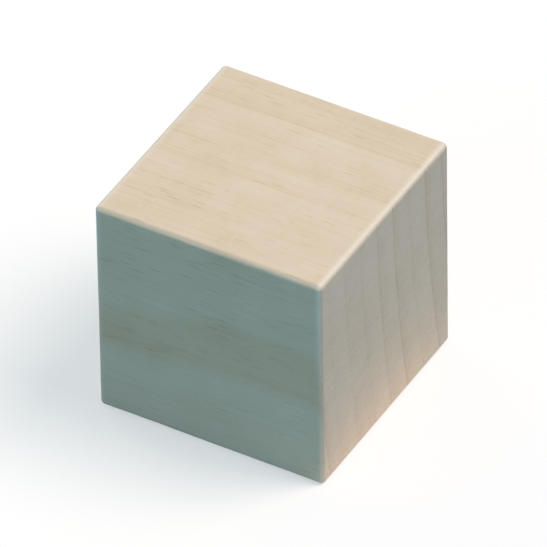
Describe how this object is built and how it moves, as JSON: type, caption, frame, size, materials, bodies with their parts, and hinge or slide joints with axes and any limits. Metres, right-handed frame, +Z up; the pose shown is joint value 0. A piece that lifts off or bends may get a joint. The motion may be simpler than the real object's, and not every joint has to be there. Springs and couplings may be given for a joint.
{
  "type": "wooden cube",
  "caption": "Small solid cube of bare pale hardwood with eased edges, for counting, stacking, building or gluing.",
  "frame": {"origin": "middle of the base, on the surface that the cube stands on", "axes": "+Z is up; +X runs with the grain, so the faces looking along +X and -X show end grain; +Y runs across the grain and makes the frame right-handed"},
  "size_m": [0.0254, 0.0254, 0.0254],
  "materials": {
    "bare_hardwood": "sanded smooth, no varnish or paint: matte side grain, slightly duller and pinker end grain"
  },
  "bodies": {
    "root": {"wooden_cube": "bare_hardwood"}
  },
  "joints": []
}
